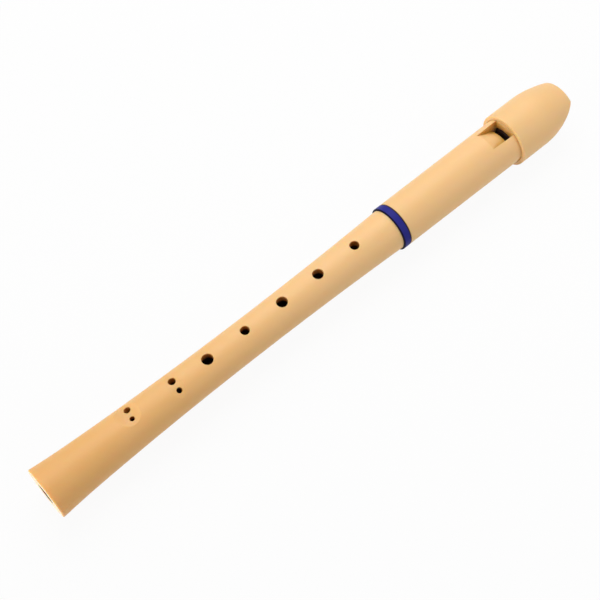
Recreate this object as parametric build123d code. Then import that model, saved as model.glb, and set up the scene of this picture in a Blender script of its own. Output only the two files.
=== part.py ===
"""Soprano recorder for the classroom: two joints, a turning collar and a capped beak.

The bore lies along X, with the foot at -X and the beak at +X.
The finger holes and the window face +Z, and Z = 0 is the surface that it lies on.
"""
import os
from math import cos, radians, sin, sqrt, tan

from build123d import *

os.makedirs("parts", exist_ok=True)

# ---------------------------------------------------------------- the whole
# at rest the head is turned a little on the tenon; the margin is how far a cutting shape
# runs past what it cuts, and lengths that differ by less than the tolerance are the same
head_turn_at_rest = -4.0
cut_margin = 1.0
length_tolerance = 0.01

# ---------------------------------------------------------------- body joint
body_length = 204.3
foot_radius = 13.1
foot_slope = 0.105
flare_radius = 11.2
flare_from_foot = 29.2
waist_radius = 9.48
waist_from_foot = 117.2
shoulder_radius = 11.05
shoulder_slope = 0.034
foot_chamfer = 0.5
foot_bore_radius = 4.8
foot_bore_length = 40.0
tenon_bore_radius = 6.0
bore_mouth_chamfer = 0.6

# finger holes: distance of each centre from the foot end, and its radius;
# a turn is about the bore, positive toward -Y, from the line of the single holes
hole_1_from_foot = 182.0
hole_1_radius = 2.4
hole_2_from_foot = 159.0
hole_2_radius = 2.75
hole_3_from_foot = 136.8
hole_3_radius = 2.8
hole_4_from_foot = 114.4
hole_4_radius = 2.3
hole_5_from_foot = 92.3
hole_5_radius = 2.85
hole_6_from_foot = 73.3
hole_6_large_radius = 1.85
hole_6_small_radius = 1.35
hole_6_turn = 4.7
hole_6_spread = 35.0
hole_7_from_foot = 48.9
hole_7_stagger = 0.9
hole_7_large_radius = 1.65
hole_7_small_radius = 1.2
hole_7_turn = -13.0
hole_7_spread = 35.0
thumb_hole_from_foot = 190.2
thumb_hole_radius = 2.75
thumb_hole_turn = 180.0
hole_rim_chamfer = 0.2

# scoops that the double holes sit in
scoop_curve_along = 13.0
scoop_6_depth = 0.5
scoop_6_curve_across = 12.0
scoop_7_depth = 1.4
scoop_7_curve_across = 30.0
scoop_7_turn = -14.0

# tenon that carries the collar and the head
tenon_radius = 8.6
tenon_length = 22.0
tenon_chamfer = 0.5
seal_from_end = 7.0
seal_groove_depth = 1.2
seal_groove_width = 1.7
seal_width = 1.6
seal_chamfer = 0.3

# ---------------------------------------------------------------- collar
ring_width = 4.1
ring_radius = 12.0
ring_chamfer = 0.3
ring_clearance = 0.05
ring_end_gap = 0.08

# ---------------------------------------------------------------- head joint
socket_end_to_labium = 71.6
cut_up = 3.1
head_end_radius = 11.95
head_top_radius = 12.3
head_bore_radius = 6.2
head_end_chamfer = 0.45
socket_clearance = 0.06
socket_end_gap = 0.4
seal_clearance = 0.02
spigot_length = 11.0

# window, labium and windway
windway_width = 11.6
windway_arch = 11.0
labium_lip = 0.5
ramp_angle = 28.0
window_draft = 4.0
under_labium_length = 8.0
floor_drop = 0.2
roof_lift = 1.0
floor_fall_angle = 0.8
block_chamfer = 0.7
block_fit = 0.02

# ---------------------------------------------------------------- mouthpiece
mouthpiece_length = 39.24
sleeve_radius = 14.5
sleeve_fit = 0.03
sleeve_chamfer = 0.3
sleeve_mouth_chamfer = 0.4
sleeve_straight = 18.0
beak_side_taper = 3.5
beak_top_taper = 5.2
beak_taper_power = 1.8
beak_steps = 4
lip_bottom_height = 4.6
beak_cut_from_sleeve_end = 13.3
beak_cut_arch = 2.0
beak_edge_rounding = 1.2

# ---------------------------------------------------------------- stations along the bore
ring_start = body_length + ring_end_gap
ring_end = ring_start + ring_width
head_start = ring_end + ring_end_gap
tenon_end = head_start + tenon_length
socket_bottom = tenon_end + socket_end_gap
labium_at = head_start + socket_end_to_labium
roof_end = labium_at + cut_up
spigot_end = roof_end + spigot_length
overall_length = roof_end + mouthpiece_length
axis_height = max(sleeve_radius, foot_radius)
to_frame = Location((-overall_length / 2, 0, axis_height))
head_to_frame = to_frame * Rot(head_turn_at_rest, 0, 0)
drill_reach = 2 * foot_radius

# the XZ plane seen from the side
side_view = Plane(origin=(0, 0, 0), x_dir=(1, 0, 0), z_dir=(0, -1, 0))


def section_at(station):
    """Plane square to the bore: X of the sketch is the object's Y, and its Y the object's Z."""
    return Plane(origin=(station, 0, 0), x_dir=(0, 1, 0), z_dir=(1, 0, 0))


def turned(wires):
    """Revolve a closed side-view outline about the bore, with its seam clear of the holes."""
    face = make_face(side_view * wires)
    return Rot(90, 0, 0) * revolve(face, Axis.X, 360)


def rod(radius, start, end):
    """A plain cylinder on the bore axis."""
    return extrude(section_at(start) * Circle(radius), end - start)


def radial_hole(station, radius, turn):
    """A straight hole from the bore outward, turned about the bore from the hole line."""
    across = Plane(origin=(station, 0, 0), x_dir=(1, 0, 0), z_dir=(0, 0, 1))
    drill = extrude(across * Circle(radius), drill_reach)
    return Rot(turn, 0, 0) * drill


def scoop(station, body_radius, depth, curve_across, turn):
    """A shallow saddle cut, deepest at its turn, flatter across than the body is round."""
    offset = curve_across - body_radius + depth
    waist = curve_across
    rise = depth + cut_margin
    half_length = sqrt(scoop_curve_along ** 2 - (scoop_curve_along - rise) ** 2)
    outer = waist + rise + body_radius
    dip = ThreePointArc((station - half_length, waist + rise), (station, waist),
                        (station + half_length, waist + rise))
    rim = Polyline((station + half_length, waist + rise), (station + half_length, outer),
                   (station - half_length, outer), (station - half_length, waist + rise))
    cutter = Rot(90, 0, 0) * turned(dip + rim)
    return Rot(turn, 0, 0) * Pos(0, 0, -offset) * cutter


def arch_height(crown, across):
    """Height of an arch of the windway's curve, at a distance to the side of its crown."""
    return crown - windway_arch + sqrt(windway_arch ** 2 - across ** 2)


def over_arch(crown, half_width, top, draft):
    """Section open upward from an arched floor, with side walls that lean outward."""
    side = arch_height(crown, half_width)
    lean = (top - side) * tan(radians(draft))
    floor = ThreePointArc((-half_width, side), (0, crown), (half_width, side))
    walls = Polyline((half_width, side), (half_width + lean, top),
                     (-half_width - lean, top), (-half_width, side))
    return make_face(floor + walls)


def under_arch(crown, half_width, bottom):
    """Section below an arched roof, with upright side walls."""
    side = arch_height(crown, half_width)
    roof = ThreePointArc((-half_width, side), (0, crown), (half_width, side))
    walls = Polyline((half_width, side), (half_width, bottom),
                     (-half_width, bottom), (-half_width, side))
    return make_face(roof + walls)


# ================================================================ body joint
body_curve = Spline([(0, foot_radius), (flare_from_foot, flare_radius),
                     (waist_from_foot, waist_radius)],
                    tangents=[(1, -foot_slope), (1, 0)])
upper_curve = Spline([(waist_from_foot, waist_radius), (body_length, shoulder_radius)],
                     tangents=[(1, 0), (1, shoulder_slope)])
body_ends = Polyline((body_length, shoulder_radius), (body_length, tenon_radius),
                     (tenon_end, tenon_radius), (tenon_end, 0), (0, 0), (0, foot_radius))
body_joint = turned(body_curve + upper_curve + body_ends)


def surface_radius(station):
    """Outer radius of the plain body at a station between the foot and the shoulder."""
    curve = body_curve if station < waist_from_foot else upper_curve
    line = Line((station, 0), (station, drill_reach))
    return curve.find_intersection_points(line)[0].Y


foot_rim = body_joint.edges().group_by(Axis.X)[0].sort_by(SortBy.RADIUS)[-1]
body_joint = chamfer(foot_rim, foot_chamfer)
tenon_rim = body_joint.edges().group_by(Axis.X)[-1].sort_by(SortBy.RADIUS)[-1]
body_joint = chamfer(tenon_rim, tenon_chamfer)

body_bore = turned(Polyline(
    (0, 0),
    (0, foot_bore_radius + bore_mouth_chamfer),
    (bore_mouth_chamfer, foot_bore_radius),
    (foot_bore_length, foot_bore_radius),
    (tenon_end, tenon_bore_radius),
    (tenon_end, 0),
    (0, 0),
))
body_joint = body_joint - body_bore

seal_at = tenon_end - seal_from_end
groove_start = seal_at - seal_groove_width / 2
groove_end = seal_at + seal_groove_width / 2
groove_floor = tenon_radius - seal_groove_depth
groove = rod(tenon_radius + cut_margin, groove_start, groove_end)
groove = groove - rod(groove_floor, groove_start, groove_end)
body_joint = body_joint - groove

body_joint = body_joint - scoop(hole_6_from_foot, surface_radius(hole_6_from_foot),
                                scoop_6_depth, scoop_6_curve_across, hole_6_turn)
body_joint = body_joint - scoop(hole_7_from_foot, surface_radius(hole_7_from_foot),
                                scoop_7_depth, scoop_7_curve_across, scoop_7_turn)

holes = [
    (hole_1_from_foot, hole_1_radius, 0.0),
    (hole_2_from_foot, hole_2_radius, 0.0),
    (hole_3_from_foot, hole_3_radius, 0.0),
    (hole_4_from_foot, hole_4_radius, 0.0),
    (hole_5_from_foot, hole_5_radius, 0.0),
    (hole_6_from_foot, hole_6_large_radius, hole_6_turn - hole_6_spread / 2),
    (hole_6_from_foot, hole_6_small_radius, hole_6_turn + hole_6_spread / 2),
    (hole_7_from_foot + hole_7_stagger, hole_7_large_radius, hole_7_turn - hole_7_spread / 2),
    (hole_7_from_foot, hole_7_small_radius, hole_7_turn + hole_7_spread / 2),
    (thumb_hole_from_foot, thumb_hole_radius, thumb_hole_turn),
]
for station, radius, turn in holes:
    body_joint = body_joint - radial_hole(station, radius, turn)


mid_wall_radius = (waist_radius + tenon_bore_radius) / 2


def is_rim(edge):
    """True for the outer edge of one of the holes."""
    spots = [edge.start_point(), edge.center(), edge.end_point()]
    for station, radius, turn in holes:
        along = Vector(0, -sin(radians(turn)), cos(radians(turn)))
        offsets = [spot - Vector(station, 0, 0) for spot in spots]
        heights = [offset.dot(along) for offset in offsets]
        away = [(offset - along * height).length for offset, height in zip(offsets, heights)]
        on_hole = max(abs(distance - radius) for distance in away) < length_tolerance
        if on_hole and min(heights) > mid_wall_radius:
            return True
    return False


rims = [edge for edge in body_joint.edges() if is_rim(edge)]
body_joint = chamfer(rims, hole_rim_chamfer)

# ================================================================ collar and seal
ring_bore_radius = tenon_radius + ring_clearance
joint_ring = rod(ring_radius, ring_start, ring_end) - rod(ring_bore_radius, ring_start, ring_end)
ring_edges = joint_ring.edges().filter_by(GeomType.CIRCLE)
ring_outer_edges = ring_edges.sort_by(SortBy.RADIUS)[-2:]
joint_ring = chamfer(ring_outer_edges, ring_chamfer)

socket_radius = tenon_radius + socket_clearance
seal_outer_radius = socket_radius - seal_clearance
seal_bore_radius = groove_floor + seal_clearance
seal_start = seal_at - seal_width / 2
seal_end = seal_at + seal_width / 2
tenon_seal = rod(seal_outer_radius, seal_start, seal_end)
tenon_seal = tenon_seal - rod(seal_bore_radius, seal_start, seal_end)
seal_edges = tenon_seal.edges().filter_by(GeomType.CIRCLE)
seal_outer_edges = seal_edges.sort_by(SortBy.RADIUS)[-2:]
tenon_seal = chamfer(seal_outer_edges, seal_chamfer)

# ================================================================ head joint
half_windway = windway_width / 2
lip_crown = head_bore_radius + labium_lip
floor_crown = head_bore_radius - floor_drop
roof_crown = head_bore_radius + roof_lift
window_top = 2 * head_top_radius

head_joint = turned(Polyline(
    (head_start, 0),
    (head_start, head_end_radius),
    (roof_end, head_top_radius),
    (spigot_end, head_top_radius),
    (spigot_end, 0),
    (head_start, 0),
))
head_rim = head_joint.edges().group_by(Axis.X)[0].sort_by(SortBy.RADIUS)[-1]
head_joint = chamfer(head_rim, head_end_chamfer)
head_joint = head_joint - rod(socket_radius, head_start, socket_bottom)
head_joint = head_joint - rod(head_bore_radius, socket_bottom, spigot_end)

ramp_direction = (-cos(radians(ramp_angle)), 0, sin(radians(ramp_angle)))
ramp_reach = window_top / sin(radians(ramp_angle))
window_section = over_arch(lip_crown, half_windway, window_top, window_draft)
ramp = extrude(section_at(labium_at) * window_section, ramp_reach, dir=ramp_direction)
opening = extrude(section_at(labium_at) * window_section, cut_up)
chamber = under_arch(lip_crown, half_windway, 0)
opening = opening + extrude(section_at(labium_at) * chamber, cut_up)
under_labium = under_arch(head_bore_radius, half_windway, 0)
under_labium = extrude(section_at(labium_at - under_labium_length) * under_labium,
                       under_labium_length)

slot_bottom = -head_bore_radius / 2
slot_length = mouthpiece_length + cut_margin
slot = extrude(section_at(roof_end) * under_arch(roof_crown, half_windway, slot_bottom), slot_length)
head_joint = head_joint - ramp - opening - under_labium - slot

# ================================================================ mouthpiece
beak_start = roof_end + sleeve_straight
beak_length = overall_length - beak_start
beak_cut_start = roof_end + beak_cut_from_sleeve_end
clear = sleeve_radius + cut_margin


def beak_section(step):
    """Section of the beak: a circle at the sleeve that flattens into an oval at the tip."""
    along = step / beak_steps
    narrowing = along ** beak_taper_power
    half_width = sleeve_radius - beak_side_taper * narrowing
    half_height = sleeve_radius - beak_top_taper * narrowing
    outline = Ellipse(half_width, half_height) if step else Circle(sleeve_radius)
    return section_at(beak_start + along * beak_length) * outline


beak_blank = loft([beak_section(step) for step in range(beak_steps + 1)])
beak_blank = beak_blank + rod(sleeve_radius, roof_end, beak_start)

cut_middle = ((beak_cut_start + overall_length) / 2,
              (lip_bottom_height - sleeve_radius) / 2 + beak_cut_arch)
under_curve = ThreePointArc((overall_length, lip_bottom_height), cut_middle,
                            (beak_cut_start, -sleeve_radius))
under_ends = Polyline((beak_cut_start, -sleeve_radius), (beak_cut_start, -clear),
                      (overall_length + cut_margin, -clear),
                      (overall_length + cut_margin, lip_bottom_height),
                      (overall_length, lip_bottom_height))
under_cut = extrude(make_face(side_view * (under_curve + under_ends)), clear, both=True)
beak_form = beak_blank - under_cut

tip_face = beak_form.faces().sort_by(Axis.X)[-1]
beak_edges = new_edges(beak_blank, under_cut, combined=beak_form) + tip_face.edges()
beak_form = fillet(list(set(beak_edges)), beak_edge_rounding)
sleeve_rim = beak_form.edges().group_by(Axis.X)[0].sort_by(SortBy.RADIUS)[-1]
beak_form = chamfer(sleeve_rim, sleeve_chamfer)

sleeve_bore_radius = head_top_radius + sleeve_fit
sleeve_bore = turned(Polyline(
    (roof_end, 0),
    (roof_end, sleeve_bore_radius + sleeve_mouth_chamfer),
    (roof_end + sleeve_mouth_chamfer, sleeve_bore_radius),
    (spigot_end + sleeve_fit, sleeve_bore_radius),
    (spigot_end + sleeve_fit, 0),
    (roof_end, 0),
))
mouthpiece = beak_form - sleeve_bore - slot
mouthpiece = mouthpiece - rod(head_bore_radius, roof_end, overall_length + cut_margin)

# ================================================================ block
half_block = half_windway - block_fit
floor_direction = (cos(radians(floor_fall_angle)), 0, -sin(radians(floor_fall_angle)))
over_floor = over_arch(floor_crown, half_windway + block_fit, window_top, 0)
over_floor = extrude(section_at(roof_end) * over_floor, slot_length, dir=floor_direction)
key = extrude(section_at(roof_end) * under_arch(roof_crown, half_block, slot_bottom), slot_length)
block = rod(head_bore_radius - block_fit, roof_end, overall_length + cut_margin) + key
block = (block - over_floor) & beak_form
face_edges = block.edges().group_by(Axis.X)[0]
floor_edge = face_edges.sort_by(Axis.Z)[-1]
block = chamfer(floor_edge, block_chamfer)

# ================================================================ nodes
nodes = {
    "body_joint": to_frame * body_joint,
    "tenon_seal": to_frame * tenon_seal,
    "joint_ring": to_frame * joint_ring,
    "head_joint": head_to_frame * head_joint,
    "mouthpiece": head_to_frame * mouthpiece,
    "block": head_to_frame * block,
}
for name, shape in nodes.items():
    export_step(shape, f"parts/{name}.step")
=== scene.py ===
"""Looks for the soprano recorder: moulded cream plastic, a blue collar and a dark block.

The camera, lights and floor come first, then the materials, then which node wears which.
Lengths are in metres, and X runs along the bore from the foot to the beak.
"""

from math import radians

import bpy
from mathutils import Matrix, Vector


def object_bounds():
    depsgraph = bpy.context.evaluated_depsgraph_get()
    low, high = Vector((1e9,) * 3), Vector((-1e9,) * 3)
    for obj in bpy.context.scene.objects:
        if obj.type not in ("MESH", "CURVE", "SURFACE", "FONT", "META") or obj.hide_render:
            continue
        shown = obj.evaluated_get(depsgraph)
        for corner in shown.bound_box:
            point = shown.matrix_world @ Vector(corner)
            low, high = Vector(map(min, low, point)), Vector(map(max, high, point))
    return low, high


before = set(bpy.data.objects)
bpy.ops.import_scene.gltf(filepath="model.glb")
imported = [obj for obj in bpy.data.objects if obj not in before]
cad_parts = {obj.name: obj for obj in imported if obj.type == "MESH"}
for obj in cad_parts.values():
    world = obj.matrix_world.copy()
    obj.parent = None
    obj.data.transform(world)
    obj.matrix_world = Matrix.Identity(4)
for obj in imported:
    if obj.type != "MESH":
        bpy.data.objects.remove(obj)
cad_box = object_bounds()
scene = bpy.context.scene
scene.view_settings.view_transform = "Standard"
foot_end = cad_box[0][0]
axis_height = cad_box[1][2] / 2

WHITE = (1.0, 1.0, 1.0, 1.0)

# The room and the floor
ROOM_STRENGTH = 0.41  # light on the recorder from all round, where 1 is white
FLOOR_HALF = 3.0
FLOOR_PAPER = (0.75, 0.75, 0.75, 1.0)
FLOOR_GLOW = 0.93  # share of the floor that shows as white whatever its shadow

# Patterns, as noises per metre
DRIFT_SCALE = 28.0
GLOSS_SCALE = 170.0
GRAIN_SCALE = 2600.0
GRAIN_HEIGHT = 0.00004

# Painted shade in recesses: how far the plastic looks round, and how open a place with the full
# shade colour is
RECESS_REACH = 0.006
RECESS_OPEN = 0.45

# Colours, as linear red, green and blue
CREAM = (0.81, 0.445, 0.15)
CREAM_DEEP = (0.78, 0.42, 0.13)
# Painted light: the cream is laid paler toward the head, as if the head end got more light
CREAM_PAINTED_HEAD_LIGHT = (0.835, 0.545, 0.26)
# Painted light: a paler colour on the foot's end face, as if it were brightly lit from beyond
# the foot
CREAM_END_PAINTED_LIGHT = (0.92, 0.80, 0.58)
BORE_SHADE = (0.06, 0.025, 0.01)
SEAM_SHADE = (0.06, 0.02, 0.04)
BLUE = (0.024, 0.024, 0.22)
BLUE_DEEP = (0.017, 0.020, 0.18)
# Painted shade: a dark line at the collar's edges, where its chamfers and gaps fall in shadow
BLUE_EDGE_SHADE = (0.004, 0.002, 0.02)

# Thin bands of painted light and shade along the bore
FOOT_FACE = 0.00003
BORE_RISE = 0.00005
SEAM = 0.0002
COLLAR_EDGE = 0.0005


# ---------------------------------------------------------------- camera and light
def add_camera():
    """Looks down on the recorder from beyond its foot, a little toward the small holes' side."""
    data = bpy.data.cameras.new("camera")
    data.lens = 75.0
    data.sensor_width = 36.0
    data.clip_start = 0.01
    data.clip_end = 20.0
    camera = bpy.data.objects.new("camera", data)
    camera.location = (-0.18731, -0.22383, 0.53423)
    camera.rotation_euler = (radians(28.452), radians(1.620), radians(-40.770))
    scene.collection.objects.link(camera)
    scene.camera = camera


def add_area(name, place, target, size, power):
    """A soft square lamp at a place, aimed at a target, with its power in watts."""
    data = bpy.data.lights.new(name, "AREA")
    data.size = size
    data.energy = power
    lamp = bpy.data.objects.new(name, data)
    lamp.location = place
    aim = Vector(target) - Vector(place)
    lamp.rotation_euler = aim.to_track_quat("-Z", "Y").to_euler()
    scene.collection.objects.link(lamp)
    return lamp


def seen_directly(nodes, links):
    """A value that is 1 where the eye, a mirror or clear plastic looks, and 0 for light."""
    path = nodes.new("ShaderNodeLightPath")
    total = path.outputs["Is Camera Ray"]
    for ray in ("Is Glossy Ray", "Is Transmission Ray"):
        either = nodes.new("ShaderNodeMath")
        either.operation = "MAXIMUM"
        links.new(total, either.inputs[0])
        links.new(path.outputs[ray], either.inputs[1])
        total = either.outputs["Value"]
    return total


def add_world():
    """An even room that shows as plain white behind the floor."""
    world = bpy.data.worlds.new("room")
    world.use_nodes = True
    nodes = world.node_tree.nodes
    links = world.node_tree.links
    nodes.clear()
    out = nodes.new("ShaderNodeOutputWorld")
    room = nodes.new("ShaderNodeBackground")
    room.inputs["Color"].default_value = WHITE
    room.inputs["Strength"].default_value = ROOM_STRENGTH
    seen = nodes.new("ShaderNodeBackground")
    seen.inputs["Color"].default_value = WHITE
    seen.inputs["Strength"].default_value = 1.0
    mix = nodes.new("ShaderNodeMixShader")
    links.new(seen_directly(nodes, links), mix.inputs["Fac"])
    links.new(room.outputs["Background"], mix.inputs[1])
    links.new(seen.outputs["Background"], mix.inputs[2])
    links.new(mix.outputs["Shader"], out.inputs["Surface"])
    scene.world = world


def add_floor():
    """A white table top that the recorder lies on; it keeps a faint shadow."""
    half = FLOOR_HALF
    mesh = bpy.data.meshes.new("floor")
    corners = [(-half, -half, 0), (half, -half, 0), (half, half, 0), (-half, half, 0)]
    mesh.from_pydata(corners, [], [(0, 1, 2, 3)])
    floor = bpy.data.objects.new("floor", mesh)
    scene.collection.objects.link(floor)
    material = bpy.data.materials.new("white_table")
    material.use_nodes = True
    nodes = material.node_tree.nodes
    links = material.node_tree.links
    nodes.clear()
    out = nodes.new("ShaderNodeOutputMaterial")
    paper = nodes.new("ShaderNodeBsdfDiffuse")
    paper.inputs["Color"].default_value = FLOOR_PAPER
    glow = nodes.new("ShaderNodeEmission")
    glow.inputs["Color"].default_value = WHITE
    glow.inputs["Strength"].default_value = 1.0
    share = nodes.new("ShaderNodeMath")
    share.operation = "MULTIPLY"
    share.inputs[1].default_value = FLOOR_GLOW
    mix = nodes.new("ShaderNodeMixShader")
    links.new(seen_directly(nodes, links), share.inputs[0])
    links.new(share.outputs["Value"], mix.inputs["Fac"])
    links.new(paper.outputs["BSDF"], mix.inputs[1])
    links.new(glow.outputs["Emission"], mix.inputs[2])
    links.new(mix.outputs["Shader"], out.inputs["Surface"])
    mesh.materials.append(material)


# ---------------------------------------------------------------- materials
class Plastic:
    """A moulded plastic whose colour is built up in layers, and then given its grain."""

    def __init__(self, name, light, dark, roughness, grain):
        self.material = bpy.data.materials.new(name)
        self.material.use_nodes = True
        self.nodes = self.material.node_tree.nodes
        self.links = self.material.node_tree.links
        self.shader = self.nodes["Principled BSDF"]
        self.place = self.nodes.new("ShaderNodeTexCoord").outputs["Object"]
        self.color = None
        self.add_drift(light, dark)
        self.add_gloss(roughness)
        self.add_grain(grain)

    def noise(self, scale, detail):
        """Factor of a noise over the object, by its scale per metre."""
        noise = self.nodes.new("ShaderNodeTexNoise")
        noise.inputs["Scale"].default_value = scale
        noise.inputs["Detail"].default_value = detail
        self.links.new(self.place, noise.inputs["Vector"])
        return noise.outputs["Fac"]

    def ramp(self, value, low, high, to_low=0.0, to_high=1.0):
        """A value that runs smoothly between two bounds."""
        ramp = self.nodes.new("ShaderNodeMapRange")
        ramp.inputs["From Min"].default_value = low
        ramp.inputs["From Max"].default_value = high
        ramp.inputs["To Min"].default_value = to_low
        ramp.inputs["To Max"].default_value = to_high
        self.links.new(value, ramp.inputs["Value"])
        return ramp.outputs["Result"]

    def set_color(self, socket):
        """Passes a colour on to the shader."""
        self.color = socket
        self.links.new(socket, self.shader.inputs["Base Color"])

    def add_drift(self, light, dark):
        """Slow patches between two close colours."""
        colors = self.nodes.new("ShaderNodeMix")
        colors.data_type = "RGBA"
        colors.inputs["A"].default_value = (*light, 1.0)
        colors.inputs["B"].default_value = (*dark, 1.0)
        patches = self.ramp(self.noise(DRIFT_SCALE, detail=3.0), 0.3, 0.7)
        self.links.new(patches, colors.inputs["Factor"])
        self.set_color(colors.outputs["Result"])

    def add_layer(self, share, color):
        """Lays a colour over what is there, by a share from 0 to 1."""
        layer = self.nodes.new("ShaderNodeMix")
        layer.data_type = "RGBA"
        layer.inputs["B"].default_value = (*color, 1.0)
        self.links.new(share, layer.inputs["Factor"])
        self.links.new(self.color, layer.inputs["A"])
        self.set_color(layer.outputs["Result"])

    def add_gloss(self, roughness):
        """Uneven gloss, as from handling."""
        handling = self.noise(GLOSS_SCALE, detail=4.0)
        gloss = self.ramp(handling, 0.2, 0.8, roughness - 0.06, roughness + 0.08)
        self.links.new(gloss, self.shader.inputs["Roughness"])

    def add_grain(self, grain):
        """The faint texture of the mould."""
        bump = self.nodes.new("ShaderNodeBump")
        bump.inputs["Strength"].default_value = grain
        bump.inputs["Distance"].default_value = GRAIN_HEIGHT
        self.links.new(self.noise(GRAIN_SCALE, detail=2.0), bump.inputs["Height"])
        self.links.new(bump.outputs["Normal"], self.shader.inputs["Normal"])

    def add_fade(self, start, end, color, share):
        """A colour that comes in along the bore, up to a share."""
        self.add_layer(self.along(start, end, share), color)

    def add_rim(self, start, width, color, share):
        """A colour on a piece's first width, which fades out over as much again."""
        self.add_fade(start + 2 * width, start + width, color, share)

    def add_recess_shade(self, clear, color):
        """Painted shade in holes and corners, by how little of what lies round them is clear."""
        around = self.nodes.new("ShaderNodeAmbientOcclusion")
        around.samples = 8
        around.only_local = True
        around.inputs["Distance"].default_value = RECESS_REACH
        shut = self.ramp(around.outputs["AO"], RECESS_OPEN, clear, 1.0, 0.0)
        self.add_layer(shut, color)

    def along(self, start, end, share):
        """A value that grows along the bore from 0 to a share."""
        parts = self.nodes.new("ShaderNodeSeparateXYZ")
        self.links.new(self.place, parts.inputs["Vector"])
        return self.ramp(parts.outputs["X"], start, end, 0.0, share)

    def add_bore_shade(self, inner, outer):
        """Painted shade in the bore, full within the inner radius and gone at the outer one."""
        offset = self.nodes.new("ShaderNodeVectorMath")
        offset.operation = "SUBTRACT"
        offset.inputs[1].default_value = (0.0, 0.0, axis_height)
        self.links.new(self.place, offset.inputs[0])
        across = self.nodes.new("ShaderNodeVectorMath")
        across.operation = "MULTIPLY"
        across.inputs[1].default_value = (0.0, 1.0, 1.0)
        self.links.new(offset.outputs["Vector"], across.inputs[0])
        distance = self.nodes.new("ShaderNodeVectorMath")
        distance.operation = "LENGTH"
        self.links.new(across.outputs["Vector"], distance.inputs[0])
        both = self.nodes.new("ShaderNodeMath")
        both.operation = "MULTIPLY"
        near = self.ramp(distance.outputs["Value"], inner, outer, 1.0, 0.0)
        start = foot_end + FOOT_FACE
        self.links.new(near, both.inputs[0])
        self.links.new(self.along(start, start + BORE_RISE, 1.0), both.inputs[1])
        self.add_layer(both.outputs["Value"], BORE_SHADE)

    def add_ends(self, start, end, width, color):
        """A colour on the last width of a length that runs along the bore."""
        parts = self.nodes.new("ShaderNodeSeparateXYZ")
        self.links.new(self.place, parts.inputs["Vector"])
        middle = self.nodes.new("ShaderNodeMath")
        middle.operation = "SUBTRACT"
        middle.inputs[1].default_value = (start + end) / 2
        self.links.new(parts.outputs["X"], middle.inputs[0])
        away = self.nodes.new("ShaderNodeMath")
        away.operation = "ABSOLUTE"
        self.links.new(middle.outputs["Value"], away.inputs[0])
        half = (end - start) / 2
        outside = self.ramp(away.outputs["Value"], half - width, half - width / 2)
        self.add_layer(outside, color)


def cream_plastic(name, clear, recess_shade):
    """Cream plastic with painted light that makes it paler toward the head, and painted shade, a
    deeper colour, in its recesses.
    """
    cream = Plastic(name, CREAM, CREAM_DEEP, roughness=0.45, grain=0.25)
    cream.shader.inputs["Specular IOR Level"].default_value = 0.35
    cream.shader.inputs["Subsurface Weight"].default_value = 0.4
    cream.shader.inputs["Subsurface Radius"].default_value = (1.0, 0.4, 0.12)
    cream.shader.inputs["Subsurface Scale"].default_value = 0.004
    # Painted light: paler toward the head, standing in for more light at that end
    cream.add_fade(foot_end, 0.0, CREAM_PAINTED_HEAD_LIGHT, share=0.75)
    # Painted shade in holes, corners and the window
    cream.add_recess_shade(clear, recess_shade)
    return cream


def node_reach(node):
    """Least and greatest X of a CAD node."""
    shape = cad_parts[node]
    places = [(shape.matrix_world @ vertex.co).x for vertex in shape.data.vertices]
    return min(places), max(places)


def wear(node, plastic):
    """Puts one material on a whole CAD node."""
    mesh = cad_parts[node].data
    mesh.materials.clear()
    mesh.materials.append(plastic.material)


# ---------------------------------------------------------------- the stage
add_camera()
add_world()
add_floor()
add_area("key", place=(0.22, 0.38, 0.64), target=(0.08, 0.0, 0.01), size=0.7, power=4.4)
add_area("fill", place=(0.32, -0.45, 0.30), target=(0.12, 0.0, 0.01), size=0.4, power=0.8)
end_light = add_area(
    "end_light", place=(-1.2, 0.10, 0.22), target=(0.0, 0.0, 0.01), size=0.5, power=9.0
)
# It grazes the tube, where its reflection would be a white stripe.
end_light.visible_glossy = False

# ---------------------------------------------------------------- the recorder
# Each piece's recess colour is painted shade, laid where little round it is clear
body = cream_plastic("cream_plastic", clear=0.8, recess_shade=(0.42, 0.15, 0.018))
# Painted shade inside the bore
body.add_bore_shade(inner=0.0054, outer=0.0068)
# Painted light: the foot's end face is made paler, as if brightly lit
body.add_rim(foot_end, FOOT_FACE, CREAM_END_PAINTED_LIGHT, share=0.7)
wear("body_joint", body)

head = cream_plastic("cream_plastic_head", clear=1.0, recess_shade=(0.62, 0.34, 0.06))
# Painted shade inside the bore
head.add_bore_shade(inner=0.0055, outer=0.0068)
head.add_rim(node_reach("head_joint")[0], SEAM, SEAM_SHADE, share=0.9)
wear("head_joint", head)

beak = cream_plastic("cream_plastic_beak", clear=0.9, recess_shade=(0.42, 0.19, 0.04))
wear("mouthpiece", beak)

ring_start, ring_end = node_reach("joint_ring")
ring = Plastic("blue_plastic", BLUE, BLUE_DEEP, roughness=0.40, grain=0.15)
ring.shader.inputs["Specular IOR Level"].default_value = 0.06
# Painted shade along both edges of the collar
ring.add_ends(ring_start, ring_end, COLLAR_EDGE, BLUE_EDGE_SHADE)
wear("joint_ring", ring)

block = Plastic(
    "block_plastic", (0.05, 0.03, 0.03), (0.04, 0.022, 0.02), roughness=0.5, grain=0.3
)
block.shader.inputs["Specular IOR Level"].default_value = 0.15
wear("block", block)

rubber = Plastic(
    "black_rubber", (0.02, 0.02, 0.02), (0.03, 0.03, 0.03), roughness=0.6, grain=0.4
)
wear("tenon_seal", rubber)
